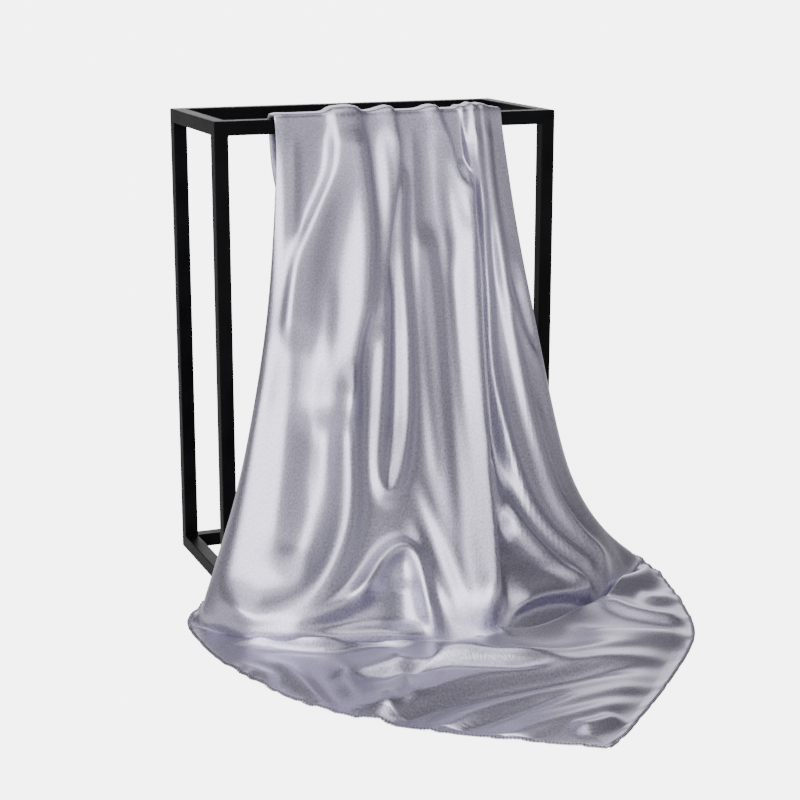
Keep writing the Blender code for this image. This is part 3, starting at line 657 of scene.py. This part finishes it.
# the satin panel: the middle surface on a fine grid, given its thickness by Solidify. The first and the
# last row are each one corner of the square, so each becomes one point with triangles round it
def makePanel(material):
    rows, lines = samplePlaces()
    points, way, out = clothPoints(rows, lines)
    ids = np.arange(way.size).reshape(way.shape)
    ids[0] = ids[0, 0]
    ids[-1] = ids[-1, 0]
    used, compact = np.unique(ids, return_inverse=True)
    quads = compact.ravel()[gridFaces(*way.shape)]
    strip = way.shape[1] - 1
    faces = quads[strip:-strip].tolist() + quads[:strip, [0, 2, 3]].tolist() + quads[-strip:, :3].tolist()
    panel = meshObject("satin_panel", placed(points).reshape(-1, 3)[used], faces)
    across = travel(points)
    across -= across[:, -1:] / 2.0
    setUv(panel, (across * mm).ravel()[used], (way * mm).ravel()[used])
    shell = panel.modifiers.new("thickness", "SOLIDIFY")
    shell.thickness = cloth["thickness"] * mm
    shell.offset = 0.0
    panel.data.materials.append(material)
    return panel, points, out


# a hem is rolled by machine: a narrow flattened roll that runs along one edge of the panel, drawn in
# at each stitch
hem = dict(
    width=3.6, height=1.9, overlap=0.7, sides=12, step=0.8, pucker=0.45, unevenness=0.35,
    sideCorner=4.6,  # the section of the fall where the square's side corners hang
    widthHeld=0.6,  # share of the width that a stitch doesn't draw in
    swellPlaces=60, seed=7,  # the seed is taken times the length of the piece's name
    lowest=0.05,  # no roll or thread reaches lower than this
    pitch=3.4, slant=1.3, stitchWidth=0.95, stitchSides=6, stitchRings=7,
)


# a line resampled at even steps, with everything carried on it
def evenly(line, step, *carried):
    travelled = travel(line)
    count = max(int(travelled[-1] / step), 8)
    places = np.linspace(0.0, travelled[-1], count)
    rows = [np.column_stack([np.interp(places, travelled, part[:, k]) for k in range(3)])
            for part in (line,) + carried]
    return places, rows


# the edge of the panel as a frame to build on: places along it, points, direction along it,
# direction away from the cloth, and direction out of its face
def edgeFrame(edge, inner, out, step):
    places, (line, inside, face) = evenly(edge, step, inner, out)
    along = unit(np.gradient(line, axis=0))
    away = line - inside
    away = unit(away - np.sum(away * along, axis=1, keepdims=True) * along)
    normal = np.cross(along, away)
    normal *= np.sign(np.sum(normal * face, axis=1, keepdims=True) + 1e-9)
    return places, line, along, away, unit(normal)


# a tube through rings of points along a line, its two ends closed by a fan of triangles. Rings that run
# clockwise, seen along the line, are turned round first, so that the faces always point outwards
def tubeAlong(rings):
    centre = rings.mean(axis=1, keepdims=True)
    turning = np.cross(rings - centre, np.roll(rings, -1, axis=1) - centre).sum(axis=1)
    if np.sum(turning * np.gradient(centre[:, 0], axis=0)) < 0.0:
        rings = rings[:, ::-1]
    count, sides = rings.shape[:2]
    faces = [tuple(face) for face in gridFaces(count, sides, closed=True).tolist()]
    caps = np.stack([rings[0].mean(axis=0), rings[-1].mean(axis=0)])
    start = count * sides
    for cap, first in ((0, 0), (1, (count - 1) * sides)):
        for side in range(sides):
            pair = (first + side, first + (side + 1) % sides)
            faces.append((start + cap,) + (pair[::-1] if cap == 0 else pair))
    return np.concatenate([rings.reshape(-1, 3), caps]), faces


# the roll: ovals along the edge, narrowed and flattened by a cosine wave at each stitch and by a slow
# random swelling
def makeHem(name, material, edge, inner, out):
    places, line, along, away, normal = edgeFrame(edge, inner, out, hem["step"])
    angle = np.linspace(0.0, 2.0 * np.pi, hem["sides"], endpoint=False)
    draw = 1.0 - hem["pucker"] * (0.5 + 0.5 * np.cos(2.0 * np.pi * places / hem["pitch"]))
    random = np.random.default_rng(len(name) * hem["seed"])
    swellings = random.uniform(-0.5, 0.5, hem["swellPlaces"])
    swell = 1.0 + hem["unevenness"] * np.interp(
        places, np.linspace(0.0, places[-1], hem["swellPlaces"]), swellings)
    drawn = hem["widthHeld"] + (1.0 - hem["widthHeld"]) * draw * swell
    across = hem["width"] / 2.0 * np.cos(angle)[None, :] * drawn[:, None]
    outwards = hem["height"] / 2.0 * np.sin(angle)[None, :] * (draw * swell)[:, None]
    centre = line + away * (hem["width"] / 2.0 - hem["overlap"])
    rings = centre[:, None] + away[:, None] * across[..., None] + normal[:, None] * outwards[..., None]
    rings[..., 2] = np.maximum(rings[..., 2], hem["lowest"])
    points, faces = tubeAlong(rings)
    piece = meshObject(name, placed(points), faces)
    turned = np.append(np.tile(angle * mm, len(rings)), [0.0, 0.0])
    carried = np.append(np.repeat(places * mm, hem["sides"]), [0.0, places[-1] * mm])
    setUv(piece, turned, carried)
    piece.data.materials.append(material)
    return piece


# the stitches of one hem: each is a slanting thread that crosses the roll on each of its faces, in an
# arch that rises by the root of a sine and is thickest in its middle
def stitchRow(edge, inner, out):
    places, line, along, away, normal = edgeFrame(edge, inner, out, hem["pitch"])
    t = np.linspace(0.0, 1.0, hem["stitchRings"])
    angle = np.linspace(0.0, 2.0 * np.pi, hem["stitchSides"], endpoint=False)
    lift = hem["height"] * 0.5 * np.sqrt(np.sin(np.pi * t).clip(0.0))
    lift = np.maximum(lift, hem["stitchWidth"] / 5.0)  # the threads of the two faces don't share their ends
    radius = hem["stitchWidth"] / 2.0 * (0.5 + 0.5 * np.sin(np.pi * t))
    points = []
    faces = []
    start = 0
    for k in range(1, len(line) - 1):
        middle = line[k] + away[k] * (hem["width"] / 2.0 - hem["overlap"])
        spine = middle + np.outer((t - 0.5) * hem["slant"], along[k])
        spine += np.outer((0.5 - t) * hem["width"], away[k])
        for face in (1.0, -1.0):
            raised = spine + np.outer(lift * face, normal[k])
            rings = (raised[:, None] + along[k] * (radius[:, None] * np.cos(angle))[..., None]
                     + normal[k] * (radius[:, None] * np.sin(angle))[..., None])
            # a ring that would reach under the floor is lifted whole, so that the thread stays round
            rings[..., 2] += np.maximum(hem["lowest"] - rings[..., 2].min(axis=1), 0.0)[:, None]
            part, ring = tubeAlong(rings)
            points.append(part)
            faces += [tuple(v + start for v in one) for one in ring]
            start += len(part)
    return np.concatenate(points), faces


# the welded frame: the skin of the twelve tubes as one body, with its edges rounded. Of three by three by
# three cells, those at the end of two or more axes are tube, and a face lies wherever tube meets air
weld = dict(edge=0.9, segments=3)


def makeFrame(material):
    marks = [np.array([0.0, stand["tube"], size - stand["tube"], size]) for size in
             (standWidth, stand["depth"], stand["height"])]
    ends = np.array([1, 0, 1])
    count = ends[:, None, None] + ends[None, :, None] + ends[None, None, :]
    filled = np.zeros((5, 5, 5), bool)
    filled[1:4, 1:4, 1:4] = count >= 2
    corners = [((0, 0, 0), (0, 1, 0), (0, 1, 1), (0, 0, 1)), ((0, 0, 0), (0, 0, 1), (1, 0, 1), (1, 0, 0)),
               ((0, 0, 0), (1, 0, 0), (1, 1, 0), (0, 1, 0))]
    faces = []
    for axis, square in enumerate(corners):
        step = np.eye(3, dtype=int)[axis]
        for side in (0, 1):
            beside = np.roll(filled, 1 if side == 0 else -1, axis=axis)
            cells = np.argwhere(filled & ~beside) - 1
            loop = square[::-1] if side == 0 else square
            loop = np.array(loop) + side * step
            faces.append(cells[:, None, :] + loop[None])
    grid = np.concatenate(faces)
    # a corner's number has its marks along the three axes as digits to base four
    ids = grid[..., 0] * 16 + grid[..., 1] * 4 + grid[..., 2]
    used, compact = np.unique(ids, return_inverse=True)
    places = np.column_stack([marks[0][used // 16], marks[1][used // 4 % 4], marks[2][used % 4]])
    body = meshObject("welded_frame", placed(places), compact.reshape(-1, 4).tolist(), smooth=False)
    rounding = body.modifiers.new("rounding", "BEVEL")
    rounding.width = weld["edge"] * mm
    rounding.segments = weld["segments"]
    rounding.limit_method = "ANGLE"
    body.data.materials.append(material)
    return body


frontLow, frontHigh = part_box("rail_top_front")
standWidth = (frontHigh[0] - frontLow[0]) / mm

# the pale floor, and soft boxes of light in the world round the object
studio = dict(
    floor=(0.42, 0.42, 0.425, 1.0), floorHalf=60.0, floorRoughness=0.9, floorGloss=0.1,
    seenGlow=5.3, glow=0.30, ambient=0.08,
    # name, direction, half angle of the full part and of the edge in degrees, brightness
    boxes=[
        ("key from the left front", (-0.75, -0.55, 0.38), 16, 38, 5.6),
        ("overhead", (-0.15, -0.10, 0.98), 14, 34, 2.2),
        ("right side", (0.93, -0.45, 0.30), 8, 30, 0.4),
        ("front", (0.10, -0.95, 0.22), 8, 30, 1.1),
        ("back wall", (0.30, 0.92, 0.20), 14, 34, 2.3),
    ],
)


def makeWorld():
    world = bpy.data.worlds.new("studioWorld")
    bpy.context.scene.world = world
    world.use_nodes = True
    tree = world.node_tree
    place = addNode(tree, "ShaderNodeTexCoord")
    total = None
    # the boxes' brightness is added up, starting from the ambient light
    for name, towards, full, edge, brightness in studio["boxes"]:
        ahead = tuple(Vector(towards).normalized())
        facing = addNode(tree, "ShaderNodeVectorMath", {1: ahead}, operation="DOT_PRODUCT", label=name)
        tree.links.new(place.outputs["Generated"], facing.inputs[0])
        glow = addNode(tree, "ShaderNodeMapRange",
                       {"From Min": math.cos(math.radians(edge)), "From Max": math.cos(math.radians(full)),
                        "To Min": 0.0, "To Max": brightness}, interpolation_type="SMOOTHSTEP")
        tree.links.new(facing.outputs["Value"], glow.inputs["Value"])
        add = addNode(tree, "ShaderNodeMath", {1: studio["ambient"]}, operation="ADD")
        tree.links.new(glow.outputs["Result"], add.inputs[0])
        if total is not None:
            tree.links.new(total.outputs["Value"], add.inputs[1])
        total = add
    sky = tree.nodes["Background"]
    sky.inputs["Color"].default_value = (1.0, 1.0, 1.0, 1.0)
    tree.links.new(total.outputs["Value"], sky.inputs["Strength"])


def makeStudio():
    half = studio["floorHalf"]
    corners = [(-half, -half, 0), (half, -half, 0), (half, half, 0), (-half, half, 0)]
    floor = meshObject("studio_floor", corners, [(0, 1, 2, 3)], smooth=False)
    material, tree, shader = nodeTree("paleFloor")
    shader.inputs["Base Color"].default_value = studio["floor"]
    shader.inputs["Roughness"].default_value = studio["floorRoughness"]
    shader.inputs["Specular IOR Level"].default_value = studio["floorGloss"]
    shader.inputs["Emission Color"].default_value = (1.0, 1.0, 1.0, 1.0)
    # the floor looks paler to the camera than it is as a light, so that it stays nearly white
    path = addNode(tree, "ShaderNodeLightPath")
    shine = addNode(tree, "ShaderNodeMapRange", {"To Min": studio["glow"], "To Max": studio["seenGlow"]})
    tree.links.new(path.outputs["Is Camera Ray"], shine.inputs["Value"])
    tree.links.new(shine.outputs["Result"], shader.inputs["Emission Strength"])
    floor.data.materials.append(material)
    makeWorld()


def makeCamera():
    lens = bpy.data.cameras.new("photoCamera")
    lens.lens = photoCamera["lens"]
    lens.sensor_width = photoCamera["sensor"]
    lens.clip_end = photoCamera["farEnd"]
    camera = bpy.data.objects.new("photoCamera", lens)
    yaw, pitch = photoCamera["yaw"], photoCamera["pitch"]
    ahead = Vector((math.sin(yaw) * math.cos(pitch), math.cos(yaw) * math.cos(pitch), -math.sin(pitch)))
    camera.location = placed(photoCamera["place"])
    camera.rotation_euler = ahead.to_track_quat("-Z", "Y").to_euler()
    bpy.context.scene.collection.objects.link(camera)
    bpy.context.scene.camera = camera


makeCamera()
makeStudio()
satinMaterial = makeSatin()
# the hems get a darker copy of the satin, which is painted shade
hemMaterial = makeSatin("silverSatinHemPaintedShade", satin["hemPaintedShade"])
threadMaterial = makeThread()
paintMaterial = makePaint()

frameBody = makeFrame(paintMaterial)
tubes = [f"leg_{face}_{side}" for face in ("front", "back") for side in ("left", "right")]
tubes += [f"rail_{level}_{side}" for level in ("top", "bottom")
          for side in ("front", "back", "left", "right")]
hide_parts(*tubes)
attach(frameBody, "root")
print("welded frame made")

panel, panelPoints, panelOut = makePanel(satinMaterial)
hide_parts("scarf_panel")
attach(panel, "root")
print("satin panel made")

sideCorner = int(np.searchsorted(samplePlaces()[0], len(poolSections) + hem["sideCorner"]))
threads = []
for end, rows in (("front", slice(0, sideCorner + 1)), ("back", slice(sideCorner, None))):
    for side, edge, inner in (("left", 0, 2), ("right", -1, -3)):
        border = panelPoints[rows, edge], panelPoints[rows, inner], panelOut[rows, edge]
        roll = makeHem(f"rolled_hem_{end}_{side}", hemMaterial, *border)
        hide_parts(f"hem_{end}_{side}")
        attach(roll, "root")
        threads.append(stitchRow(*border))
print("rolled hems made")

counts = np.cumsum([0] + [len(points) for points, faces in threads])
stitching = meshObject("hem_stitching", placed(np.concatenate([points for points, faces in threads])),
                       [tuple(v + start for v in face) for start, (points, faces) in zip(counts, threads)
                        for face in faces])
stitching.data.materials.append(threadMaterial)
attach(stitching, "root")
print("stitches made")
